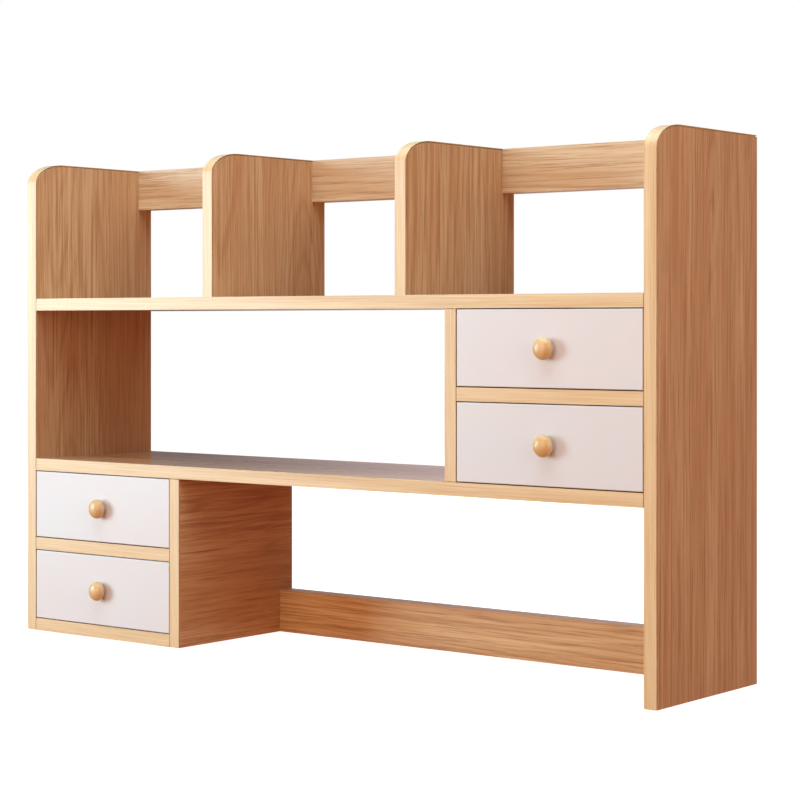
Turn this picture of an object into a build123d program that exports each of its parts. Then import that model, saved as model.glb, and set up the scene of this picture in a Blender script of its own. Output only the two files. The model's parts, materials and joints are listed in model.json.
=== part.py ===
"""A free-standing wooden desk hutch with three cubbies, two open bays and four drawers.

Millimetres. X runs along the width, Y from the front to the back, Z up. The origin is on the
desk top, under the middle of the width and midway between the knobs' tips and the rear faces.
"""

from build123d import *
import os

# Overall size and stock
WIDTH = 1000.0
DEPTH = 220.0
HEIGHT = 634.0
BOARD = 16.0
RAIL = 25.0
BAND = 2.0
CORNER_DEPTH = 50.0
CORNER_HEIGHT = 28.0

# Heights of the shelves' and separators' top faces, and the rails' heights
TOP_SHELF_TOP = 450.0
MIDDLE_SHELF_TOP = 233.0
RIGHT_SEPARATOR_TOP = 343.0
LEFT_SEPARATOR_TOP = 126.0
TOP_RAIL_HEIGHT = 55.5
LOWER_RAIL_HEIGHT = 56.0

# Places along the width, from the outer face of the left side panel
LEFT_DIVIDER_AT = 328.0
RIGHT_DIVIDER_AT = 640.0
BAY_OPENING = 254.0

# Drawers
KNOB_REACH = 16.0
KNOB_RADIUS = 12.75
KNOB_BORE_DEPTH = 10.0
FRONT_GAP = 1.2
FRONT_THICKNESS = 16.0
FRONT_EASE = 1.0
BOX_GAP = 2.0
BOX_LENGTH = 200.0
BOX_HEIGHT = 66.0
BOX_WALL = 12.0
GLIDE_GAP = 0.3
HOUSING = 6.0
PLY = 3.0
PLY_RISE = 6.0
GROOVE = 5.0
BACK_PANEL_SETBACK = 11.0

# Fasteners
CAM_RADIUS = 7.5
CAM_DEPTH = 12.4
CAM_SINK = 0.3
CAM_POCKET_CLEARANCE = 0.5
DRIVER_RECESS = (9.0, 1.6, 1.8)
BOLT_REACH = 24.0
THREAD_RADIUS = 2.5
THREAD_LENGTH = 8.0
SHANK_RADIUS = 3.0
BOLT_HEAD_RADIUS = 3.4
BORE_RADIUS = 4.0
DOWEL_RADIUS = 4.0
DOWEL_IN_MATE = 7.0
DOWEL_IN_BOARD = 20.0
SCREW_RADIUS = 1.75
SCREW_HEAD_RADIUS = 3.6
SCREW_LENGTH = 30.0
KNOB_SCREW_RADIUS = 2.0
KNOB_SCREW_HEAD_RADIUS = 4.5
KNOB_SCREW_HEAD = 2.2
SCREW_RECESS = (4.0, 0.8, 1.1)
FIT = 0.05

# Worked out from the above
LEFT = -WIDTH / 2
RIGHT = WIDTH / 2
FRONT = -(DEPTH - KNOB_REACH) / 2
REAR = FRONT + DEPTH
INNER_LEFT = LEFT + BOARD
INNER_RIGHT = RIGHT - BOARD
LEFT_BAY_SIDE = INNER_LEFT + BAY_OPENING
RIGHT_BAY_SIDE = INNER_RIGHT - BAY_OPENING - BOARD
LEFT_DIVIDER = LEFT + LEFT_DIVIDER_AT
RIGHT_DIVIDER = LEFT + RIGHT_DIVIDER_AT
TOP_SHELF_BOTTOM = TOP_SHELF_TOP - BOARD
MIDDLE_SHELF_BOTTOM = MIDDLE_SHELF_TOP - BOARD
FRONT_CAM = FRONT + 45.0
REAR_CAM = REAR - 45.0
BACK_PANEL = REAR - BACK_PANEL_SETBACK - PLY

X = Vector(1, 0, 0)
Y = Vector(0, 1, 0)
Z = Vector(0, 0, 1)

pieces = {}
cuts = {}
cam_locks = []
cam_bolts = []
wood_dowels = []


def slab(low, high):
    """A box between its lowest and highest corners."""
    size = [b - a for a, b in zip(low, high)]
    middle = [(a + b) / 2 for a, b in zip(low, high)]
    return Pos(*middle) * Box(*size)


def grown(low, high, by):
    """A box that stands out by the same amount all round."""
    return slab([a - by for a in low], [b + by for b in high])


def rod(start, along, length, radius):
    """A cylinder from a point along a direction."""
    standing = Cylinder(radius, length, align=(Align.CENTER, Align.CENTER, Align.MIN))
    return Plane(origin=Vector(*start), z_dir=along) * standing


def turned(start, along, outline):
    """A solid turned about a direction, from (radius, distance) points of its half outline."""
    half = make_face(Polyline(*[(r, 0, d) for r, d in outline], close=True))
    return Plane(origin=Vector(*start), z_dir=along) * revolve(half, Axis.Z)


def cross_recess(mouth, out, span, width, depth):
    """Two crossed bars at a face, to be taken out of it for a cross-head driver."""
    place = Plane(origin=Vector(*mouth), z_dir=out)
    bars = Box(span, width, 2 * depth) + Box(width, span, 2 * depth)
    return place * bars


def cut(node, tool):
    """Notes a hole or a groove to be taken out of a board."""
    cuts.setdefault(node, []).append(tool)


def board(node, low, high, rear=REAR):
    """A plain board with its front edge set back to leave room for an edge band."""
    pieces[node] = slab((low[0], FRONT + BAND, low[1]), (high[0], rear, high[1]))


def band(low, high):
    """The strip glued to the front edge of a plain board, its outer edges eased."""
    strip = slab((low[0], FRONT, low[1]), (high[0], FRONT + BAND, high[1]))
    front_face = strip.faces().sort_by(Axis.Y)[0]
    along = Axis.X if high[0] - low[0] > high[1] - low[1] else Axis.Z
    return fillet(front_face.edges().filter_by(along), 0.8 * BAND)


def rounded_panel(left, bottom, inset):
    """A panel from a height up to the top, whose upper front corner is a quarter ellipse."""
    spring = (FRONT + CORNER_DEPTH, HEIGHT - CORNER_HEIGHT)
    edge = FRONT + inset
    top = HEIGHT - inset
    corner = EllipticalCenterArc(
        spring, CORNER_DEPTH - inset, CORNER_HEIGHT - inset, 90, arc_size=90
    )
    straight = Polyline((edge, spring[1]), (edge, bottom), (REAR, bottom), (REAR, top), (spring[0], top))
    face = Plane.YZ * make_face(corner + straight)
    return Pos(left, 0, 0) * extrude(face, BOARD, dir=X)


def banded_panel(node, left, bottom):
    """A rounded panel's board, and its edge band up the front, round the corner and along the top."""
    core = rounded_panel(left, bottom, BAND)
    pieces[node] = core
    return rounded_panel(left, bottom, 0.0) - core


def cam_joint(node, mate, seam, into, face_distance, out):
    """A cam in one board, its bolt screwed into the mate, and the holes that both need.

    seam is where the bolt's axis crosses the joint, into points into the board that holds the
    cam, and the cam is let into the face that lies face_distance away in the direction out.
    """
    centre = seam + into * BOLT_REACH
    face = centre + out * face_distance
    mouth = face - out * CAM_SINK
    body = rod(mouth - out * CAM_DEPTH, out, CAM_DEPTH, CAM_RADIUS)
    bolt_slot = rod(centre - into * (CAM_RADIUS + 1), into, CAM_RADIUS + 1 + BOLT_HEAD_RADIUS, BORE_RADIUS)
    body -= cross_recess(mouth, out, *DRIVER_RECESS)
    cam_locks.append(body - bolt_slot)

    thread = rod(seam - into * THREAD_LENGTH, into, THREAD_LENGTH, THREAD_RADIUS)
    shank = rod(seam, into, BOLT_REACH - 5.0, SHANK_RADIUS)
    neck = rod(seam + into * (BOLT_REACH - 5.0), into, 4.0, THREAD_RADIUS * 0.8)
    head = rod(seam + into * (BOLT_REACH - 1.0), into, 3.0, BOLT_HEAD_RADIUS)
    cam_bolts.append(thread + shank + neck + head)

    pocket = CAM_SINK + CAM_DEPTH + CAM_POCKET_CLEARANCE
    cut(node, rod(face - out * pocket, out, pocket + 1.0, CAM_RADIUS + FIT))
    cut(node, rod(seam - into, into, BOLT_REACH, BORE_RADIUS))
    cut(mate, rod(seam - into * (THREAD_LENGTH + 0.5), into, THREAD_LENGTH + 0.5, THREAD_RADIUS + FIT))


def dowel_joint(node, mate, seam, into):
    """A plain wooden dowel across a joint, and its two holes."""
    length = DOWEL_IN_MATE + DOWEL_IN_BOARD
    start = seam - into * DOWEL_IN_MATE
    dowel = rod(start, into, length, DOWEL_RADIUS)
    wood_dowels.append(chamfer(dowel.edges().filter_by(GeomType.CIRCLE), 0.8))
    cut(node, rod(seam, into, DOWEL_IN_BOARD + 0.5, DOWEL_RADIUS + FIT))
    cut(mate, rod(start - into * 0.5, into, DOWEL_IN_MATE + 0.5, DOWEL_RADIUS + FIT))


def board_end(node, mate, across, height_or_x, into, out):
    """One end of a full-depth board: a front and a rear cam with a dowel between them.

    across is the coordinate of the joint's plane along into, and height_or_x that of the
    board's mid-plane along out.
    """
    for depth in (FRONT_CAM, REAR_CAM):
        seam = joint_point(across, height_or_x, depth, into)
        cam_joint(node, mate, seam, into, BOARD / 2, out)
    dowel_joint(node, mate, joint_point(across, height_or_x, (FRONT_CAM + REAR_CAM) / 2, into), into)


def joint_point(across, other, depth, into):
    """A point on a joint's plane, for joints that are crossed along X or along Z."""
    if abs(into.X) > 0.5:
        return Vector(across, depth, other)
    return Vector(other, depth, across)


def level_board(node, left, right, top, mates, rear=REAR):
    """A horizontal board between two upright ones, with cams let into its underside."""
    board(node, (left, top - BOARD), (right, top), rear)
    middle = top - BOARD / 2
    board_end(node, mates[0], left, middle, X, -Z)
    board_end(node, mates[1], right, middle, -X, -Z)
    return band((left, top - BOARD), (right, top))


def rear_rail(node, left, right, bottom, height, mates):
    """A rail flush with the rear faces, with a cam and a dowel at each end at staggered heights."""
    pieces[node] = slab((left, REAR - RAIL, bottom), (right, REAR, bottom + height))
    cam_line = REAR - BOARD / 2
    dowel_line = REAR - RAIL / 2
    levels = [bottom + height * share for share in (0.21, 0.60, 0.40, 0.79)]
    for across, into, mate, cam_level, dowel_level in (
        (left, X, mates[0], levels[0], levels[1]),
        (right, -X, mates[1], levels[3], levels[2]),
    ):
        cam_joint(node, mate, Vector(across, cam_line, cam_level), into, BOARD / 2, Y)
        dowel_joint(node, mate, Vector(across, dowel_line, dowel_level), into)


def carcass():
    """Side panels, shelves, dividers, bay boards, rails and their edge bands."""
    pieces["left_side_edge_band"] = banded_panel("left_side_panel", LEFT, 0.0)
    pieces["right_side_edge_band"] = banded_panel("right_side_panel", INNER_RIGHT, 0.0)
    dividers = [
        banded_panel(node, left, TOP_SHELF_TOP)
        for node, left in (("left_divider", LEFT_DIVIDER), ("right_divider", RIGHT_DIVIDER))
    ]
    pieces["divider_edge_bands"] = Compound(dividers)

    sides = ("left_side_panel", "right_side_panel")
    pieces["top_shelf_edge_band"] = level_board("top_shelf", INNER_LEFT, INNER_RIGHT, TOP_SHELF_TOP, sides)
    pieces["middle_shelf_edge_band"] = level_board(
        "middle_shelf", INNER_LEFT, INNER_RIGHT, MIDDLE_SHELF_TOP, sides
    )
    for node, left in (("left_divider", LEFT_DIVIDER), ("right_divider", RIGHT_DIVIDER)):
        board_end(node, "top_shelf", TOP_SHELF_TOP, left + BOARD / 2, Z, -X)

    board("right_bay_side", (RIGHT_BAY_SIDE, MIDDLE_SHELF_TOP), (RIGHT_BAY_SIDE + BOARD, TOP_SHELF_BOTTOM))
    middle = RIGHT_BAY_SIDE + BOARD / 2
    board_end("right_bay_side", "middle_shelf", MIDDLE_SHELF_TOP, middle, Z, X)
    board_end("right_bay_side", "top_shelf", TOP_SHELF_BOTTOM, middle, -Z, X)
    board("left_bay_side", (LEFT_BAY_SIDE, 0.0), (LEFT_BAY_SIDE + BOARD, MIDDLE_SHELF_BOTTOM))
    board_end("left_bay_side", "middle_shelf", MIDDLE_SHELF_BOTTOM, LEFT_BAY_SIDE + BOARD / 2, -Z, -X)

    bay_bands = [
        band((RIGHT_BAY_SIDE, MIDDLE_SHELF_TOP), (RIGHT_BAY_SIDE + BOARD, TOP_SHELF_BOTTOM)),
        band((LEFT_BAY_SIDE, 0.0), (LEFT_BAY_SIDE + BOARD, MIDDLE_SHELF_BOTTOM)),
    ]
    left_mates = ("left_side_panel", "left_bay_side")
    right_mates = ("right_bay_side", "right_side_panel")
    separator_rear = BACK_PANEL - FIT
    for node, left, top, mates, rear in (
        ("left_bay_bottom", INNER_LEFT, BOARD, left_mates, REAR),
        ("left_bay_separator", INNER_LEFT, LEFT_SEPARATOR_TOP, left_mates, separator_rear),
        ("right_bay_separator", RIGHT_BAY_SIDE + BOARD, RIGHT_SEPARATOR_TOP, right_mates, separator_rear),
    ):
        bay_bands.append(level_board(node, left, left + BAY_OPENING, top, mates, rear))
    pieces["bay_edge_bands"] = Compound(bay_bands)

    stands = ["left_side_panel", "left_divider", "right_divider", "right_side_panel"]
    lefts = [LEFT, LEFT_DIVIDER, RIGHT_DIVIDER, INNER_RIGHT]
    for number, side in enumerate(("left", "middle", "right")):
        rear_rail(
            f"top_{side}_rail",
            lefts[number] + BOARD,
            lefts[number + 1],
            HEIGHT - TOP_RAIL_HEIGHT,
            TOP_RAIL_HEIGHT,
            stands[number : number + 2],
        )
    rear_rail(
        "lower_rail",
        LEFT_BAY_SIDE + BOARD,
        INNER_RIGHT,
        0.0,
        LOWER_RAIL_HEIGHT,
        ("left_bay_side", "right_side_panel"),
    )


def bay_back(node, left, bottom, top, neighbours):
    """A thin back panel in a groove of the boards around a drawer bay."""
    low = (left - GROOVE, BACK_PANEL, bottom - GROOVE)
    high = (left + BAY_OPENING + GROOVE, BACK_PANEL + PLY, top + GROOVE)
    pieces[node] = slab(low, high)
    for neighbour in neighbours:
        cut(neighbour, grown(low, high, 0.1))


def knob(centre):
    """A turned mushroom knob on its foot, bored for its screw."""
    outline = (
        Line((0, 0, 0), (0, 0, KNOB_REACH))
        + Spline(
            (0, 0, KNOB_REACH),
            (0.60 * KNOB_RADIUS, 0, 0.91 * KNOB_REACH),
            (0.91 * KNOB_RADIUS, 0, 0.70 * KNOB_REACH),
            (KNOB_RADIUS, 0, 0.51 * KNOB_REACH),
            (0.90 * KNOB_RADIUS, 0, 0.37 * KNOB_REACH),
            (0.56 * KNOB_RADIUS, 0, 0.25 * KNOB_REACH),
            (0.50 * KNOB_RADIUS, 0, 0.10 * KNOB_REACH),
            (0.56 * KNOB_RADIUS, 0, 0),
            tangents=((1, 0, 0), (0.4, 0, -1)),
        )
        + Line((0.56 * KNOB_RADIUS, 0, 0), (0, 0, 0))
    )
    turned_knob = revolve(make_face(outline), Axis.Z)
    bored = turned_knob - rod((0, 0, -1), Z, KNOB_BORE_DEPTH + 1, KNOB_SCREW_RADIUS + FIT)
    return Plane(origin=centre, z_dir=-Y) * bored


def knob_screw(centre):
    """A pan-head screw from inside the drawer, through its front and into the knob."""
    seat = centre + Y * FRONT_THICKNESS
    head = rod(seat, Y, KNOB_SCREW_HEAD, KNOB_SCREW_HEAD_RADIUS)
    head = fillet(head.edges().filter_by(GeomType.CIRCLE).sort_by(Axis.Y)[-1], 1.0)
    head -= cross_recess(seat + Y * KNOB_SCREW_HEAD, Y, *SCREW_RECESS)
    shank = rod(seat, -Y, FRONT_THICKNESS + KNOB_BORE_DEPTH - 1.0, KNOB_SCREW_RADIUS)
    return head + shank


def box_screw(head_centre, into):
    """A countersunk wood screw with a cross recess."""
    head = turned(
        head_centre,
        into,
        ((0, 0), (SCREW_HEAD_RADIUS, 0), (SCREW_RADIUS, SCREW_HEAD_RADIUS - SCREW_RADIUS), (0, 2.5)),
    )
    shank = rod(head_centre, into, SCREW_LENGTH, SCREW_RADIUS)
    return head + shank - cross_recess(head_centre, -into, *SCREW_RECESS)


def drawer(name, left, floor, ceiling):
    """A wooden drawer: eased inset front, two sides, back, thin bottom, knob and screws."""
    right = left + BAY_OPENING
    front_low = (left + FRONT_GAP, FRONT, floor + FRONT_GAP)
    front_high = (right - FRONT_GAP, FRONT + FRONT_THICKNESS, ceiling - FRONT_GAP)
    base = floor + GLIDE_GAP
    box_front = FRONT + FRONT_THICKNESS
    box_rear = FRONT + BOX_LENGTH
    outer = (left + BOX_GAP, right - BOX_GAP)
    inner = (outer[0] + BOX_WALL, outer[1] - BOX_WALL)
    centre = Vector((left + right) / 2, FRONT, (floor + ceiling) / 2)

    front = slab(front_low, front_high)
    face = front.faces().sort_by(Axis.Y)[0]
    pieces[f"{name}_front"] = fillet(face.edges(), FRONT_EASE)
    cut(f"{name}_front", rod(centre - Y, Y, FRONT_THICKNESS + 2, KNOB_SCREW_RADIUS + FIT))
    for side, low_x, high_x in (("left", outer[0], inner[0]), ("right", inner[1], outer[1])):
        low = (low_x, box_front - HOUSING, base)
        high = (high_x, box_rear, base + BOX_HEIGHT)
        pieces[f"{name}_{side}_side"] = slab(low, high)
        cut(f"{name}_front", grown(low, high, 0.1))
    back_low = (inner[0], box_rear - BOX_WALL, base)
    pieces[f"{name}_back"] = slab(back_low, (inner[1], box_rear, base + BOX_HEIGHT))

    low = (inner[0] - GROOVE, box_front - GROOVE, base + PLY_RISE)
    high = (inner[1] + GROOVE, box_rear - BOX_WALL + GROOVE, base + PLY_RISE + PLY)
    pieces[f"{name}_bottom"] = slab(low, high)
    for neighbour in ("front", "left_side", "right_side", "back"):
        cut(f"{name}_{neighbour}", grown(low, high, 0.1))

    screws = []
    for side, head_x, into in (("left_side", outer[0] + 0.2, X), ("right_side", outer[1] - 0.2, -X)):
        for height in (base + 20.0, base + BOX_HEIGHT - 14.0):
            head = Vector(head_x, box_rear - BOX_WALL / 2, height)
            screws.append(box_screw(head, into))
            hole = rod(head - into, into, SCREW_LENGTH + 2, SCREW_RADIUS + FIT)
            sink = ((0, -0.5), (SCREW_HEAD_RADIUS + 0.55, -0.5), (SCREW_RADIUS, 2.0), (0, 2.6))
            cut(f"{name}_{side}", hole + turned(head, into, sink))
            cut(f"{name}_back", hole)
    pieces[f"{name}_screws"] = Compound(screws)
    pieces[f"{name}_knob"] = knob(centre)
    pieces[f"{name}_knob_screw"] = knob_screw(centre)


carcass()
right_opening = RIGHT_BAY_SIDE + BOARD
bay_back(
    "left_bay_back",
    INNER_LEFT,
    BOARD,
    MIDDLE_SHELF_BOTTOM,
    ("left_side_panel", "left_bay_side", "left_bay_bottom", "middle_shelf"),
)
bay_back(
    "right_bay_back",
    right_opening,
    MIDDLE_SHELF_TOP,
    TOP_SHELF_BOTTOM,
    ("right_side_panel", "right_bay_side", "top_shelf", "middle_shelf"),
)
drawer("left_lower_drawer", INNER_LEFT, BOARD, LEFT_SEPARATOR_TOP - BOARD)
drawer("left_upper_drawer", INNER_LEFT, LEFT_SEPARATOR_TOP, MIDDLE_SHELF_BOTTOM)
drawer("right_lower_drawer", right_opening, MIDDLE_SHELF_TOP, RIGHT_SEPARATOR_TOP - BOARD)
drawer("right_upper_drawer", right_opening, RIGHT_SEPARATOR_TOP, TOP_SHELF_BOTTOM)

for node, tools in cuts.items():
    pieces[node] = pieces[node] - tools
pieces["cam_locks"] = Compound(cam_locks)
pieces["cam_bolts"] = Compound(cam_bolts)
pieces["wood_dowels"] = Compound(wood_dowels)

os.makedirs("parts", exist_ok=True)
for node, shape in pieces.items():
    export_step(shape, f"parts/{node}.step")
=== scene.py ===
"""The looks of a wooden desk hutch: boards, edge bands, drawers, turned knobs and their studio."""

import json
import logging
import math
from dataclasses import dataclass
from enum import Enum
from typing import Any, Mapping, Sequence, Union

import bpy
import numpy as np
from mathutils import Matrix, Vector
from numpy.typing import NDArray

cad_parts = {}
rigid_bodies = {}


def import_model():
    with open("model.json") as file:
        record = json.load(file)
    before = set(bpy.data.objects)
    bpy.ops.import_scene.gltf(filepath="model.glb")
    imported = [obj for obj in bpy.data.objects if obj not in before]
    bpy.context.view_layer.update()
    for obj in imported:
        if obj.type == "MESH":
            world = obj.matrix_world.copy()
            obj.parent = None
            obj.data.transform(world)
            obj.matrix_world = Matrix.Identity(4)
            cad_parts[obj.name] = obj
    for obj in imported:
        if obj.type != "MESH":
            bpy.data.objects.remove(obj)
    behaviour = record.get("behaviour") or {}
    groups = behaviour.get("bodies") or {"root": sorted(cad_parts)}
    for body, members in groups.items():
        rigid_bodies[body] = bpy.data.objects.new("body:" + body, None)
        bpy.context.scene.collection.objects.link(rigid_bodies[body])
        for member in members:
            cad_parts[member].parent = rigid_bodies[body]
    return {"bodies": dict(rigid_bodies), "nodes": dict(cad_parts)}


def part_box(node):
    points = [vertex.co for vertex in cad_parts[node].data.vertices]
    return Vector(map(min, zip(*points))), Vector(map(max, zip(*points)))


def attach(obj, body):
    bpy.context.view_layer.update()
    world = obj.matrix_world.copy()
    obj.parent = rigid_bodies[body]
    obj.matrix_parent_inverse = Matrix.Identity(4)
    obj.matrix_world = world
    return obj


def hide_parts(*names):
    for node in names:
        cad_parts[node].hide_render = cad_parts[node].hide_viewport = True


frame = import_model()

LOG = logging.getLogger("desk_hutch")
FloatArray = NDArray[np.float64]
Colour = tuple[float, float, float, float]
Operand = Union["Socket", float]

# Lengths in metres that the finished pieces share
BAND = 0.002
CORNER_DEPTH = 0.050
CORNER_HEIGHT = 0.028

# A quad's corners in order, as steps to the next ring and to the next point round it
QUAD_CORNERS = ((0, 0), (1, 0), (1, 1), (0, 1))


def rgb(red: float, green: float, blue: float) -> Colour:
    """An opaque linear colour."""
    return (red, green, blue, 1.0)


# ---------------------------------------------------------------- shader writing


class Socket:
    """A node's output, on which arithmetic adds Math nodes to its graph."""

    def __init__(self, graph: "Graph", output: bpy.types.NodeSocket) -> None:
        """Wraps an output.

        Args:
            graph: the graph that the output belongs to.
            output: the node's output socket.
        """
        self.graph = graph
        self.output = output

    def _math(self, operation: str, first: Operand, second: Operand) -> "Socket":
        """Adds one Math node and returns its result."""
        return self.graph.node("ShaderNodeMath", {"operation": operation}, {0: first, 1: second})

    def __add__(self, other: Operand) -> "Socket":
        """self + other."""
        return self._math("ADD", self, other)

    def __radd__(self, other: float) -> "Socket":
        """other + self."""
        return self._math("ADD", other, self)

    def __sub__(self, other: Operand) -> "Socket":
        """self - other."""
        return self._math("SUBTRACT", self, other)

    def __mul__(self, other: Operand) -> "Socket":
        """self * other."""
        return self._math("MULTIPLY", self, other)

    def __rmul__(self, other: float) -> "Socket":
        """other * self."""
        return self._math("MULTIPLY", other, self)

    def __pow__(self, power: float) -> "Socket":
        """self raised to a power."""
        return self._math("POWER", self, power)

    def wave(self) -> "Socket":
        """The sine of self, moved into the range 0 to 1."""
        return 0.5 + 0.5 * self._math("SINE", self, 0.0)

    def between(self, low: float, high: float) -> "Socket":
        """Self as a share of the way from low to high, held between 0 and 1."""
        ends = {"Value": self, "From Min": low, "From Max": high}
        return self.graph.node("ShaderNodeMapRange", {"clamp": True}, ends)


class Graph:
    """A node tree, with short ways to add what the finishes need."""

    def __init__(self, name: str, tree: bpy.types.NodeTree | None = None) -> None:
        """Makes an empty material, or takes over another tree.

        Args:
            name: the material's name.
            tree: a tree to write into in place of a new material's.
        """
        if tree is None:
            self.material = bpy.data.materials.new(name)
            self.material.use_nodes = True
            tree = self.material.node_tree
        self.tree = tree
        self.tree.nodes.clear()

    def node(
        self,
        kind: str,
        settings: Mapping[str, Any] | None = None,
        inputs: Mapping[int | str, Any] | None = None,
        output: int | str = 0,
    ) -> Socket:
        """Adds a node.

        Args:
            kind: the node's type.
            settings: its properties, set first; "stops" gives a colour ramp's (place, colour) pairs.
            inputs: its sockets' values or links, by name or number.
            output: which of its outputs to return.

        Returns:
            The chosen output.
        """
        made = self.tree.nodes.new(kind)
        for key, value in (settings or {}).items():
            if key == "stops":
                self._set_stops(made.color_ramp, value)
            else:
                setattr(made, key, value)
        for key, value in (inputs or {}).items():
            if isinstance(value, Socket):
                self.tree.links.new(value.output, made.inputs[key])
            else:
                made.inputs[key].default_value = value
        return Socket(self, made.outputs[output])

    @staticmethod
    def _set_stops(ramp: bpy.types.ColorRamp, stops: Sequence[tuple[float, Colour]]) -> None:
        """Gives a colour ramp these stops in place of its own two."""
        while len(ramp.elements) > 1:
            ramp.elements.remove(ramp.elements[-1])
        ramp.elements[0].position, ramp.elements[0].color = stops[0]
        for place, colour in stops[1:]:
            ramp.elements.new(place).color = colour

    def coordinates(self, kind: str = "Object") -> Socket:
        """The place being shaded: a surface's in metres, or the way a ray points in the world."""
        return self.node("ShaderNodeTexCoord", output=kind)

    def scaled(self, place: Socket, scale: Sequence[float]) -> Socket:
        """A place stretched by a scale for each axis."""
        return self.node("ShaderNodeMapping", None, {"Vector": place, "Scale": scale})

    def noise(self, place: Socket, scale: float = 1.0, detail: float = 2.0, roughness: float = 0.5) -> Socket:
        """Smooth noise around 0.5."""
        sockets = {"Vector": place, "Scale": scale, "Detail": detail, "Roughness": roughness}
        return self.node("ShaderNodeTexNoise", None, sockets)

    def drifted(self, place: Socket, field: Socket, amount: float) -> Socket:
        """A place pushed aside by noise, so that straight lines wander.

        Args:
            place: the place that is pushed.
            field: where the pushing noise is read.
            amount: the greatest push, in metres.

        Returns:
            The pushed place.
        """
        push = self.node("ShaderNodeTexNoise", None, {"Vector": field, "Scale": 1.0, "Detail": 2.0}, output=1)
        step = (amount, amount, amount)
        return self.node("ShaderNodeVectorMath", {"operation": "MULTIPLY_ADD"}, {0: push, 1: step, 2: place})

    def ramp(self, factor: Socket, stops: Sequence[tuple[float, Colour]]) -> Socket:
        """A colour looked up along a row of stops."""
        return self.node("ShaderNodeValToRGB", {"stops": stops}, {0: factor})

    def mixed(self, factor: Operand, first: Socket | Colour, second: Socket | Colour) -> Socket:
        """A blend of two colours."""
        colours = {0: factor, 6: first, 7: second}
        return self.node("ShaderNodeMix", {"data_type": "RGBA"}, colours, output=2)

    def bumped(self, height: Socket, strength: float, distance: float) -> Socket:
        """A normal tilted by a height map."""
        sockets = {"Strength": strength, "Distance": distance, "Height": height}
        return self.node("ShaderNodeBump", None, sockets)

    def finish(self, **sockets: Any) -> bpy.types.Material:
        """Closes the graph with a Principled shader.

        Args:
            sockets: the shader's values or links, with underscores for spaces.

        Returns:
            The finished material.
        """
        inputs = {key.replace("_", " "): value for key, value in sockets.items()}
        self.output(self.node("ShaderNodeBsdfPrincipled", None, inputs))
        return self.material

    def output(self, shader: Socket, kind: str = "ShaderNodeOutputMaterial") -> None:
        """Links a shader to the tree's end."""
        end = self.tree.nodes.new(kind)
        self.tree.links.new(shader.output, end.inputs["Surface"])


# ---------------------------------------------------------------- finishes


class Grain(Enum):
    """The direction that wood fibres run in."""

    ALONG_X = (1.0, 0.0, 0.0)
    ALONG_Y = (0.0, 1.0, 0.0)
    ALONG_Z = (0.0, 0.0, 1.0)

    def stretch(self, across: float, along: float) -> tuple[float, float, float]:
        """Pattern cycles per metre on each axis.

        Args:
            across: cycles per metre across the fibres.
            along: cycles per metre along them.

        Returns:
            The scale of each axis.
        """
        x, y, z = (across + (along - across) * share for share in self.value)
        return x, y, z


@dataclass(frozen=True)
class OakLaminate:
    """Satin board laminate with fine straight oak grain, pores and slow changes of tone."""

    grain: Grain
    name: str = "oak_laminate"
    light: Colour = rgb(0.680, 0.468, 0.284)
    middle: Colour = rgb(0.605, 0.386, 0.217)
    dark: Colour = rgb(0.450, 0.230, 0.105)
    red: Colour = rgb(0.556, 0.312, 0.158)
    pore: Colour = rgb(0.310, 0.130, 0.050)
    roughness: float = 0.28
    relief: float = 0.12
    ring_count: float = 330.0
    ring_strength: float = 0.34
    red_strength: float = 0.70
    pore_strength: float = 0.62

    def material(self) -> bpy.types.Material:
        """Fine streaks, growth rings as contours of a long noise, and dark pore dashes."""
        graph = Graph(f"{self.name}_{self.grain.name.lower()}")
        place = graph.coordinates()
        place = graph.drifted(place, graph.scaled(place, self.grain.stretch(5.0, 1.8)), 0.009)
        tone = graph.noise(graph.scaled(place, self.grain.stretch(26.0, 1.3)), detail=3.0)
        field = graph.noise(graph.scaled(place, self.grain.stretch(6.5, 0.36)), detail=1.0)
        rings = (field * self.ring_count).wave() ** 5.0
        streaks = graph.noise(graph.scaled(place, self.grain.stretch(230.0, 4.0)), detail=4.0, roughness=0.72)
        pores = graph.noise(graph.scaled(place, self.grain.stretch(640.0, 10.0)), detail=3.0, roughness=0.7)
        pores = pores.between(0.52, 0.66)
        figure = streaks.between(0.29, 0.74) - self.ring_strength * rings * tone.between(0.30, 0.60)
        stops = ((0.16, self.dark), (0.42, self.middle), (0.66, self.light))
        reddened = tone.between(0.40, 0.62) * self.red_strength
        colour = graph.mixed(reddened, graph.ramp(figure, stops), self.red)
        colour = graph.mixed(pores * self.pore_strength, colour, self.pore)
        return graph.finish(
            Base_Color=colour,
            Roughness=self.roughness + 0.16 * streaks,
            Normal=graph.bumped(streaks - 0.8 * pores, self.relief, 0.0004),
            Specular_IOR_Level=0.42,
        )


@dataclass(frozen=True)
class EdgeBandWood:
    """Pale edge band whose fine grain follows the strip."""

    light: Colour = rgb(0.760, 0.600, 0.390)
    middle: Colour = rgb(0.680, 0.492, 0.284)
    dark: Colour = rgb(0.555, 0.352, 0.166)

    def material(self) -> bpy.types.Material:
        """Long streaks on the strip's own length and width."""
        graph = Graph("edge_band_wood")
        place = graph.coordinates("UV")
        place = graph.drifted(place, graph.scaled(place, (2.5, 40.0, 1.0)), 0.002)
        tone = graph.noise(graph.scaled(place, (2.2, 90.0, 1.0)), detail=3.0)
        streaks = graph.noise(graph.scaled(place, (9.0, 700.0, 1.0)), detail=4.0, roughness=0.6)
        figure = 0.45 * tone + 0.55 * streaks
        stops = ((0.35, self.dark), (0.49, self.middle), (0.61, self.light))
        return graph.finish(
            Base_Color=graph.ramp(figure, stops),
            Roughness=0.28 + 0.16 * streaks,
            Normal=graph.bumped(streaks, 0.10, 0.0003),
            Specular_IOR_Level=0.50,
        )


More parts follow.
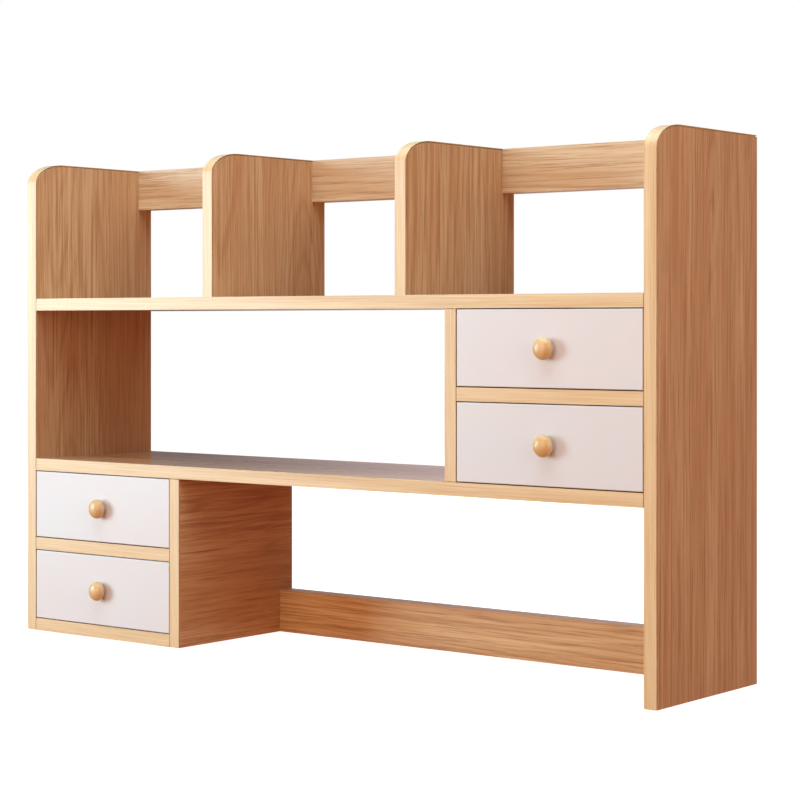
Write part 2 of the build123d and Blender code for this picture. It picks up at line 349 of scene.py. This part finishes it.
@dataclass(frozen=True)
class WhiteMelamine:
    """Smooth off-white board surface with the faintest mottle."""

    cool: Colour = rgb(0.655, 0.680, 0.755)
    warm: Colour = rgb(0.672, 0.668, 0.728)

    def material(self) -> bpy.types.Material:
        """Slow warm and cool patches and a fine orange-peel bump."""
        graph = Graph("white_melamine")
        place = graph.coordinates()
        patches = graph.noise(place, scale=9.0, detail=2.0)
        peel = graph.noise(place, scale=1400.0, detail=2.0)
        return graph.finish(
            Base_Color=graph.mixed(patches.between(0.35, 0.65), self.cool, self.warm),
            Roughness=0.34 + 0.10 * patches,
            Normal=graph.bumped(peel, 0.06, 0.0002),
            Specular_IOR_Level=0.45,
        )


@dataclass(frozen=True)
class PlainWood:
    """Plain pale wood, as of drawer boxes, thin panels, dowels and turned knobs."""

    name: str
    grain: Grain
    light: Colour
    dark: Colour
    roughness: float
    coat: float = 0.0
    streak_width: float = 0.004

    def material(self) -> bpy.types.Material:
        """Growth rings and streaks between two tones, under varnish where there is a coat."""
        graph = Graph(f"{self.name}_{self.grain.name.lower()}")
        place = graph.coordinates()
        place = graph.drifted(place, graph.scaled(place, self.grain.stretch(6.0, 2.0)), 0.006)
        fine = 1.0 / self.streak_width
        rings = (graph.noise(graph.scaled(place, self.grain.stretch(9.0, 1.2)), detail=1.0) * 60.0).wave()
        streaks = graph.noise(graph.scaled(place, self.grain.stretch(fine, fine / 45.0)), detail=4.0)
        figure = 0.35 * rings + 0.65 * streaks.between(0.25, 0.75)
        return graph.finish(
            Base_Color=graph.mixed(figure, self.dark, self.light),
            Roughness=self.roughness + 0.12 * streaks,
            Normal=graph.bumped(streaks, 0.12, 0.0003),
            Coat_Weight=self.coat,
            Coat_Roughness=0.20,
        )


@dataclass(frozen=True)
class ZincPlate:
    """Zinc-plated steel with fine tumbling marks."""

    bright: Colour = rgb(0.70, 0.70, 0.68)
    dull: Colour = rgb(0.46, 0.46, 0.45)

    def material(self) -> bpy.types.Material:
        """Clouds of bright and dull plating, and small scratches in the roughness."""
        graph = Graph("zinc_plate")
        place = graph.coordinates()
        clouds = graph.noise(place, scale=260.0, detail=3.0)
        marks = graph.noise(graph.scaled(place, (900.0, 900.0, 2600.0)), detail=2.0)
        return graph.finish(
            Base_Color=graph.mixed(clouds.between(0.3, 0.7), self.dull, self.bright),
            Metallic=1.0,
            Roughness=0.26 + 0.22 * marks,
            Normal=graph.bumped(marks, 0.08, 0.0001),
        )


PALE_OAK = OakLaminate(
    Grain.ALONG_X,
    "pale_oak_laminate",
    light=rgb(0.765, 0.635, 0.450),
    middle=rgb(0.705, 0.545, 0.358),
    dark=rgb(0.510, 0.318, 0.170),
    red=rgb(0.632, 0.425, 0.258),
)
# The lower rail's copy of the rails' laminate, darker and oranger: its colours are painted shade and warm
# light from below
SHADED_RAIL_OAK = OakLaminate(
    Grain.ALONG_X,
    "shaded_rail_oak_laminate",
    light=rgb(0.745, 0.535, 0.300),
    middle=rgb(0.675, 0.440, 0.225),
    dark=rgb(0.480, 0.265, 0.118),
    red=rgb(0.605, 0.355, 0.180),
)
SATIN_OAK = OakLaminate(Grain.ALONG_X, "satin_oak_laminate", roughness=0.14, relief=0.03)
THIN_PANEL = PlainWood("thin_panel", Grain.ALONG_X, rgb(0.70, 0.47, 0.27), rgb(0.56, 0.35, 0.18), 0.55)
DOWEL_WOOD = PlainWood("dowel", Grain.ALONG_X, rgb(0.62, 0.40, 0.20), rgb(0.45, 0.26, 0.11), 0.6)
TURNED_WOOD = PlainWood(
    "turned_wood",
    Grain.ALONG_Z,
    light=rgb(0.72, 0.50, 0.26),
    dark=rgb(0.60, 0.36, 0.15),
    roughness=0.36,
    coat=0.4,
    streak_width=0.0016,
)


class SharedFinishes:
    """The materials that several pieces share, each made once."""

    def __init__(self) -> None:
        """Makes the materials."""
        deep, wide = (
            PlainWood("drawer_wood", grain, rgb(0.74, 0.52, 0.31), rgb(0.60, 0.38, 0.20), 0.5)
            for grain in (Grain.ALONG_Y, Grain.ALONG_X)
        )
        self.front = WhiteMelamine().material()
        self.box_deep = deep.material()
        self.box_wide = wide.material()
        self.knob = TURNED_WOOD.material()
        self.metal = ZincPlate().material()


# ---------------------------------------------------------------- surfaces


@dataclass
class Shell:
    """A closed surface.

    points holds one row for each point; faces and corners hold matching blocks, whose rows are
    a face's point numbers and its corners' places on the piece's UV map, in metres.
    """

    points: FloatArray
    faces: list[NDArray[np.int64]]
    corners: list[FloatArray]

    def volume(self) -> float:
        """The volume that the faces enclose, which is negative when they point inwards."""
        total = 0.0
        for block in self.faces:
            place = self.points[block]
            for second in range(1, block.shape[1] - 1):
                spun = np.cross(place[:, second], place[:, second + 1])
                total += float(np.einsum("ij,ij->", place[:, 0], spun)) / 6.0
        return total

    def facing_out(self) -> "Shell":
        """The same surface with its faces turned outwards."""
        if self.volume() >= 0.0:
            return self
        faces = [block[:, ::-1] for block in self.faces]
        corners = [block[:, ::-1] for block in self.corners]
        return Shell(self.points, faces, corners)


def lengths_along(points: FloatArray) -> FloatArray:
    """The distance travelled along a line of points, from 0 at its first."""
    steps = np.linalg.norm(np.diff(points, axis=0), axis=1)
    return np.concatenate([[0.0], np.cumsum(steps)])


def ring_quads(rings: int, around: int) -> NDArray[np.int64]:
    """The faces between neighbouring rings of points.

    Args:
        rings: how many rings there are.
        around: how many points each ring has; its last point joins its first.

    Returns:
        A row of four point numbers for each face.
    """
    ring, point = np.divmod(np.arange((rings - 1) * around), around)
    return np.stack([(ring + on) * around + (point + turn) % around for on, turn in QUAD_CORNERS], axis=-1)


def swept(section: FloatArray, outer: FloatArray, inner: FloatArray, side: FloatArray) -> Shell:
    """Carries a closed section along a path and caps both ends.

    A point is outer + depth * (inner - outer) + across * side, where the section's rows hold
    across, in metres, and depth, as a share of the way from the outer line to the inner one.

    Args:
        section: the section's (across, depth) rows.
        outer: the path's points on the outer face.
        inner: the matching points on the inner face.
        side: the unit direction that across is measured in.

    Returns:
        The closed surface.
    """
    across = section[None, :, 0:1]
    depth = section[None, :, 1:2]
    grid = outer[:, None] + depth * (inner - outer)[:, None] + across * side
    rows, columns = grid.shape[:2]
    quads = ring_quads(rows, columns)
    along = lengths_along(outer)
    around = lengths_along(np.vstack([grid[0], grid[0, :1]]))
    row, column = np.divmod(np.arange(len(quads)), columns)
    corners = np.stack(
        [np.stack([along[row + on], around[column + turn]], axis=-1) for on, turn in QUAD_CORNERS], axis=-2
    )
    ends = np.stack([np.arange(columns)[::-1], np.arange(columns) + (rows - 1) * columns])
    thickness = float(np.linalg.norm(inner[0] - outer[0]))
    flat = np.stack([section[:, 1] * thickness, section[:, 0]], axis=-1)
    end_corners = np.stack([flat[::-1], flat + (along[-1], 0.0)])
    return Shell(grid.reshape(-1, 3), [quads, ends], [corners, end_corners]).facing_out()


def turned(profile: FloatArray, centre: FloatArray, segments: int) -> Shell:
    """Turns a profile about the direction -Y through a centre.

    A ring's points are centre + radius * (cos a, 0, sin a) - distance * Y, for angles a evenly
    round the circle; the profile's first and last rows lie on the axis and close the ends.

    Args:
        profile: the profile's (radius, distance) rows.
        centre: the point at distance 0.
        segments: how many faces go round.

    Returns:
        The closed surface.
    """
    angle = np.linspace(0.0, 2.0 * np.pi, segments, endpoint=False)
    spokes = np.stack([np.cos(angle), np.zeros(segments), np.sin(angle)], axis=-1)
    axis = np.array([0.0, -1.0, 0.0])
    rings = profile[1:-1, 0, None, None] * spokes + profile[1:-1, 1, None, None] * axis
    poles = profile[[0, -1], 1, None] * axis
    points = np.vstack([rings.reshape(-1, 3), poles]) + centre
    spin = np.arange(segments)
    next_spin = (spin + 1) % segments
    first = len(rings) * segments
    last_ring = first - segments
    tip_fan = np.stack([np.full(segments, first), spin, next_spin], axis=-1)
    end_fan = np.stack([spin + last_ring, np.full(segments, first + 1), next_spin + last_ring], axis=-1)
    faces = [ring_quads(len(rings), segments), np.vstack([tip_fan, end_fan])]
    corners = [points[block][..., [0, 2]] for block in faces]
    return Shell(points, faces, corners).facing_out()


def piece(
    name: str, shells: Sequence[Shell], material: bpy.types.Material, sharp: float = 42.0
) -> bpy.types.Object:
    """Makes one object of closed surfaces.

    Args:
        name: the object's name.
        shells: its closed surfaces.
        material: its finish.
        sharp: edges that turn more than this many degrees stay crisp.

    Returns:
        The object, at the origin.
    """
    faces: list[list[int]] = []
    corners: list[FloatArray] = []
    start = 0
    for shell in shells:
        for block, places in zip(shell.faces, shell.corners):
            faces.extend((block + start).tolist())
            corners.append(places.reshape(-1, 2))
        start += len(shell.points)
    mesh = bpy.data.meshes.new(name)
    mesh.from_pydata(np.vstack([shell.points for shell in shells]).tolist(), [], faces)
    layer = mesh.uv_layers.new(name="UVMap")
    layer.data.foreach_set("uv", np.vstack(corners).ravel())
    mesh.polygons.foreach_set("use_smooth", np.ones(len(mesh.polygons), dtype=bool))
    mesh.set_sharp_from_angle(angle=math.radians(sharp))
    mesh.materials.append(material)
    mesh.update()
    made = bpy.data.objects.new(name, mesh)
    bpy.context.scene.collection.objects.link(made)
    return made


def dress(node: str, material: bpy.types.Material) -> None:
    """Gives a carried-over CAD node its finish."""
    mesh = frame["nodes"][node].data
    mesh.materials.clear()
    mesh.materials.append(material)


# ---------------------------------------------------------------- sub-assemblies


@dataclass
class Carcass:
    """The fixed boards, each with its laminate's grain along its length."""

    upright: tuple[str, ...] = ("left_side_panel", "right_side_panel", "left_divider", "right_divider")
    level: tuple[str, ...] = (
        "top_shelf",
        "middle_shelf",
        "left_bay_bottom",
        "left_bay_separator",
        "right_bay_separator",
    )
    top_rails: tuple[str, ...] = ("top_left_rail", "top_middle_rail", "top_right_rail")
    lower_rails: tuple[str, ...] = ("lower_rail",)
    bay_sides: tuple[str, ...] = ("left_bay_side", "right_bay_side")
    backs: tuple[str, ...] = ("left_bay_back", "right_bay_back")

    def build(self) -> list[str]:
        """Dresses every board.

        Returns:
            The names of the dressed nodes.
        """
        for nodes, laminate in (
            (self.upright, OakLaminate(Grain.ALONG_Z)),
            (self.level, SATIN_OAK),
            (self.bay_sides, OakLaminate(Grain.ALONG_Y)),
            (self.top_rails, PALE_OAK),
            # the lower rail takes the darker, oranger copy of the rails' laminate: painted shade and warm
            # light
            (self.lower_rails, SHADED_RAIL_OAK),
        ):
            finish = laminate.material()
            for node in nodes:
                dress(node, finish)
        film = THIN_PANEL.material()
        for node in self.backs:
            dress(node, film)
        rails = [*self.top_rails, *self.lower_rails]
        return [*self.upright, *self.level, *rails, *self.bay_sides, *self.backs]


@dataclass
class EdgeBands:
    """The pale strips on the boards' front edges, and round and along the top of the panels."""

    corner_width: float = 0.0026
    corner_share: float = 0.80
    corner_steps: int = 7
    arc_steps: int = 33
    joint: float = 0.0009
    bay_boards: tuple[str, ...] = (
        "right_bay_side",
        "left_bay_side",
        "left_bay_bottom",
        "left_bay_separator",
        "right_bay_separator",
    )

    def section(self, width: float) -> FloatArray:
        """A strip's section: flat at the back, with elliptical front corners.

        Args:
            width: the board's thickness.

        Returns:
            Closed (across, depth) rows, with depth 0 at the outer face and 1 at the board.
        """
        angle = np.linspace(0.0, np.pi / 2.0, self.corner_steps)
        inset = self.corner_width * (1.0 - np.sin(angle))
        depth = self.corner_share * (1.0 - np.cos(angle))[::-1]
        near = np.stack([inset, depth], axis=-1)
        far = np.stack([width - inset, depth], axis=-1)[::-1]
        return np.vstack([near, far, [[width, 1.0], [0.0, 1.0]]])

    def straight(self, low: FloatArray, high: FloatArray) -> Shell:
        """A strip that fills a box, running along the box's longer side.

        Args:
            low: the box's lowest corner.
            high: its highest corner.

        Returns:
            The strip.
        """
        level = high[0] - low[0] > high[2] - low[2]
        run = np.array([1.0, 0.0, 0.0]) if level else np.array([0.0, 0.0, 1.0])
        side = np.array([0.0, 0.0, 1.0]) if level else np.array([1.0, 0.0, 0.0])
        size = high - low
        length = float(size @ run)
        outer = low + np.outer([self.joint, length - self.joint], run)
        inner = low + np.outer([self.joint / 3.0, length - self.joint / 3.0], run) + (0.0, size[1], 0.0)
        return swept(self.section(float(size @ side)), outer, inner, side)

    def round_panel(
        self, left: float, right: float, front: float, rear: float, bottom: float, top: float
    ) -> Shell:
        """A strip up a panel's front edge, round its elliptical corner and back along its top.

        Args:
            left: the panel's left face.
            right: its right face.
            front: the outer face of the strip.
            rear: the panel's rear edge.
            bottom: where the strip starts.
            top: the highest point.

        Returns:
            The strip.
        """
        angle = np.linspace(0.0, np.pi / 2.0, self.arc_steps)
        lines = []
        for inset in (0.0, BAND):
            arc_y = front + CORNER_DEPTH - (CORNER_DEPTH - inset) * np.cos(angle)
            arc_z = top - CORNER_HEIGHT + (CORNER_HEIGHT - inset) * np.sin(angle)
            y = np.concatenate([[front + inset], arc_y, [rear]])
            z = np.concatenate([[bottom], arc_z, [top - inset]])
            lines.append(np.stack([np.full_like(y, left), y, z], axis=-1))
        return swept(self.section(right - left), lines[0], lines[1], np.array([1.0, 0.0, 0.0]))

    def build(self) -> list[str]:
        """Makes every strip in place of the plain one.

        Returns:
            The names of the finished pieces.
        """
        finish = EdgeBandWood().material()
        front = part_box("bay_edge_bands")[0].y
        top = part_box("left_side_edge_band")[1].z
        made: dict[str, list[Shell]] = {}
        for node, boards in (
            ("left_side_edge_band", ("left_side_panel",)),
            ("right_side_edge_band", ("right_side_panel",)),
            ("divider_edge_bands", ("left_divider", "right_divider")),
        ):
            made[node] = []
            for board in boards:
                low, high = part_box(board)
                made[node].append(self.round_panel(low.x, high.x, front, high.y, low.z, top))
        for node, boards in (
            ("top_shelf_edge_band", ("top_shelf",)),
            ("middle_shelf_edge_band", ("middle_shelf",)),
            ("bay_edge_bands", self.bay_boards),
        ):
            made[node] = []
            for board in boards:
                low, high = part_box(board)
                strip_low = np.array([low.x, front, low.z])
                strip_high = np.array([high.x, front + BAND, high.z])
                made[node].append(self.straight(strip_low, strip_high))
        for node, shells in made.items():
            strip = piece(f"{node}_finished", shells, finish)
            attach(strip, "carcass")
            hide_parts(node)
        return list(made)


@dataclass
class Drawer:
    """One drawer: its white front, plain box, screws and turned knob."""

    name: str
    finishes: SharedFinishes
    head_radius: float = 0.01275
    reach: float = 0.016
    widest_at: float = 0.48
    cap_power: float = 0.92
    underside_share: float = 0.26
    neck_radius: float = 0.0062
    foot_radius: float = 0.0071
    bore_radius: float = 0.00205
    bore_depth: float = 0.010
    cap_steps: int = 28
    underside_steps: int = 16
    waist_steps: int = 14
    segments: int = 96

    def knob_profile(self) -> FloatArray:
        """The knob's profile: a domed cap, a rounded underside, a waist, a foot and the bore.

        With t from 90 to 0 degrees, the cap's rows are (head_radius * cos(t) ** cap_power, belly +
        (reach - belly) * sin(t)), where belly is the distance of the widest ring. The underside is
        a quarter ellipse down to the neck, and the waist a half cosine from the neck to the foot.

        Returns:
            Its (radius, distance) rows, from the tip round to the bottom of the bore.
        """
        belly = self.widest_at * self.reach
        turn = np.linspace(np.pi / 2.0, 0.0, self.cap_steps)
        cap_radius = self.head_radius * np.cos(turn) ** self.cap_power
        cap = np.stack([cap_radius, belly + (self.reach - belly) * np.sin(turn)], axis=-1)
        under = np.linspace(0.0, np.pi / 2.0, self.underside_steps)[1:]
        drop = self.underside_share * self.reach
        under_radius = self.head_radius - (self.head_radius - self.neck_radius) * (1.0 - np.cos(under))
        underside = np.stack([under_radius, belly - drop * np.sin(under)], axis=-1)
        share = np.linspace(0.0, 1.0, self.waist_steps)[1:]
        flare = (self.foot_radius - self.neck_radius) * (1.0 - np.cos(np.pi * share)) / 2.0
        waist = np.stack([self.neck_radius + flare, (belly - drop) * (1.0 - share)], axis=-1)
        bore = [[self.bore_radius, 0.0], [self.bore_radius, self.bore_depth], [0.0, self.bore_depth]]
        return np.vstack([cap, underside, waist, bore])

    def build(self) -> list[str]:
        """Dresses the drawer's parts and turns its knob.

        Returns:
            The names of the finished pieces.
        """
        for part, finish in (
            ("front", self.finishes.front),
            ("left_side", self.finishes.box_deep),
            ("right_side", self.finishes.box_deep),
            ("back", self.finishes.box_wide),
            ("bottom", self.finishes.box_wide),
            ("knob_screw", self.finishes.metal),
            ("screws", self.finishes.metal),
        ):
            dress(f"{self.name}_{part}", finish)
        low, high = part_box(f"{self.name}_knob")
        centre = np.array([(low.x + high.x) / 2.0, high.y, (low.z + high.z) / 2.0])
        shell = turned(self.knob_profile(), centre, self.segments)
        knob = piece(f"{self.name}_knob_turned", [shell], self.finishes.knob, sharp=60.0)
        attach(knob, self.name)
        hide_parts(f"{self.name}_knob")
        return [self.name, knob.name]


@dataclass
class Fittings:
    """The cams, their bolts and the dowels."""

    finishes: SharedFinishes
    metal: tuple[str, ...] = ("cam_locks", "cam_bolts")
    dowels: str = "wood_dowels"

    def build(self) -> list[str]:
        """Dresses the fittings.

        Returns:
            The names of the dressed nodes.
        """
        for node in self.metal:
            dress(node, self.finishes.metal)
        dress(self.dowels, DOWEL_WOOD.material())
        return [*self.metal, self.dowels]


# ---------------------------------------------------------------- studio


@dataclass(frozen=True)
class Softbox:
    """A square area light that points at a spot, and that glossy surfaces may or may not reflect."""

    name: str
    place: tuple[float, float, float]
    aim: tuple[float, float, float]
    size: float
    power: float
    colour: tuple[float, float, float]
    reflected: bool = True

    def build(self) -> None:
        """Hangs the light."""
        data = bpy.data.lights.new(self.name, "AREA")
        data.size = self.size
        data.energy = self.power
        data.color = self.colour
        light = bpy.data.objects.new(self.name, data)
        bpy.context.scene.collection.objects.link(light)
        light.location = self.place
        light.visible_glossy = self.reflected
        away = light.location - Vector(self.aim)
        light.rotation_euler = away.to_track_quat("Z", "Y").to_euler()


@dataclass
class Studio:
    """A white room: a pale floor, soft lights and the camera."""

    camera_place: tuple[float, float, float] = (1.72104, -2.08545, 0.41704)
    camera_turn: float = 38.4175
    lens: float = 96.778
    sensor: float = 36.0
    shift: float = -0.09626
    low_glow: Colour = rgb(0.69, 0.18, 0.02)
    high_glow: Colour = rgb(0.0, 0.0, 0.0)
    wall: Colour = rgb(0.14, 0.17, 0.21)
    rear_wall: Colour = rgb(1.15, 1.00, 1.04)
    rear_wall_way: tuple[float, float, float] = (-0.26, 0.966, 0.0)
    rear_wall_edges: tuple[float, float] = (0.875, 0.95)
    lit_middle: tuple[float, float, float] = (0.0, 0.0, 0.3)
    floor_reach: float = 12.0
    floor_drop: float = 0.0015
    floor_glow: Colour = rgb(1.0, 1.0, 1.0)
    floor_colour: Colour = rgb(0.50, 0.49, 0.48)

    def build(self) -> None:
        """Sets up the camera, the lights, the world and the floor."""
        self._camera()
        middle = self.lit_middle
        for box in (
            Softbox("key_light", (-2.3, -2.0, 0.95), middle, 1.2, 46.0, (0.65, 0.90, 0.96)),
            Softbox("low_key_light", (-2.3, -2.0, 0.30), middle, 1.0, 26.0, (0.65, 0.86, 0.88)),
            Softbox("front_light", (0.0, -2.8, 0.9), middle, 1.8, 31.0, (0.96, 0.78, 0.57)),
            Softbox("overhead_light", (0.2, -0.3, 2.2), middle, 2.2, 57.0, (0.79, 0.93, 1.0)),
            Softbox("rear_light", (-1.6, 2.2, 0.9), middle, 1.4, 20.0, (0.85, 0.97, 1.0), False),
            Softbox("right_light", (2.3, -0.6, 0.9), middle, 1.4, 16.5, (1.0, 0.95, 0.80)),
        ):
            box.build()
        self._world()
        self._floor()
        bpy.context.scene.view_settings.view_transform = "Standard"

    def _camera(self) -> None:
        """Stands the camera level, to the right of the hutch and looking to its front left."""
        data = bpy.data.cameras.new("camera")
        data.lens = self.lens
        data.sensor_width = self.sensor
        data.shift_y = self.shift
        camera = bpy.data.objects.new("camera", data)
        bpy.context.scene.collection.objects.link(camera)
        camera.location = self.camera_place
        camera.rotation_euler = (math.pi / 2.0, 0.0, math.radians(self.camera_turn))
        bpy.context.scene.camera = camera

    def _world(self) -> None:
        """White for the camera, walls in reflections, and a warm glow from below for the rest.

        The rear wall is paler, and the level boards reflect it.
        """
        world = bpy.data.worlds.new("studio")
        world.use_nodes = True
        bpy.context.scene.world = world
        graph = Graph("world", world.node_tree)
        way = graph.coordinates("Generated")
        height = graph.node("ShaderNodeSeparateXYZ", None, {0: way}, output="Z")
        glow = graph.mixed(height.between(-1.0, 1.0), self.low_glow, self.high_glow)
        ways = {0: way, 1: self.rear_wall_way}
        rear = graph.node("ShaderNodeVectorMath", {"operation": "DOT_PRODUCT"}, ways, output="Value")
        walls = graph.mixed(rear.between(*self.rear_wall_edges), self.wall, self.rear_wall)
        seen = graph.mixed(graph.node("ShaderNodeLightPath", output="Is Glossy Ray"), glow, walls)
        white = rgb(1.0, 1.0, 1.0)
        seen = graph.mixed(graph.node("ShaderNodeLightPath", output="Is Camera Ray"), seen, white)
        graph.output(graph.node("ShaderNodeBackground", None, {"Color": seen}), "ShaderNodeOutputWorld")

    def _floor(self) -> None:
        """A large pale floor just under the hutch."""
        mesh = bpy.data.meshes.new("floor")
        signs = ((-1, -1), (1, -1), (1, 1), (-1, 1))
        square = [(x * self.floor_reach, y * self.floor_reach, -self.floor_drop) for x, y in signs]
        mesh.from_pydata(square, [], [(0, 1, 2, 3)])
        floor = bpy.data.objects.new("floor", mesh)
        bpy.context.scene.collection.objects.link(floor)
        graph = Graph("pale_floor")
        glow = graph.node("ShaderNodeEmission", None, {"Color": self.floor_glow, "Strength": 1.0})
        matt = graph.node("ShaderNodeBsdfDiffuse", None, {"Color": self.floor_colour})
        graph.output(graph.node("ShaderNodeAddShader", None, {0: glow, 1: matt}))
        mesh.materials.append(graph.material)
        floor.visible_diffuse = False
        floor.visible_glossy = False
        floor.visible_shadow = False


def main() -> None:
    """Builds the hutch's looks and its studio, and reports each piece."""
    logging.basicConfig(level=logging.INFO, format="%(message)s")
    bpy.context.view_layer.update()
    finishes = SharedFinishes()
    assemblies = [Carcass(), EdgeBands(), Fittings(finishes)]
    assemblies += [Drawer(body, finishes) for body in frame["bodies"] if body.endswith("drawer")]
    for assembly in assemblies:
        for name in assembly.build():
            LOG.info("%s: %s", type(assembly).__name__, name)
    Studio().build()


if __name__ == "__main__":
    main()
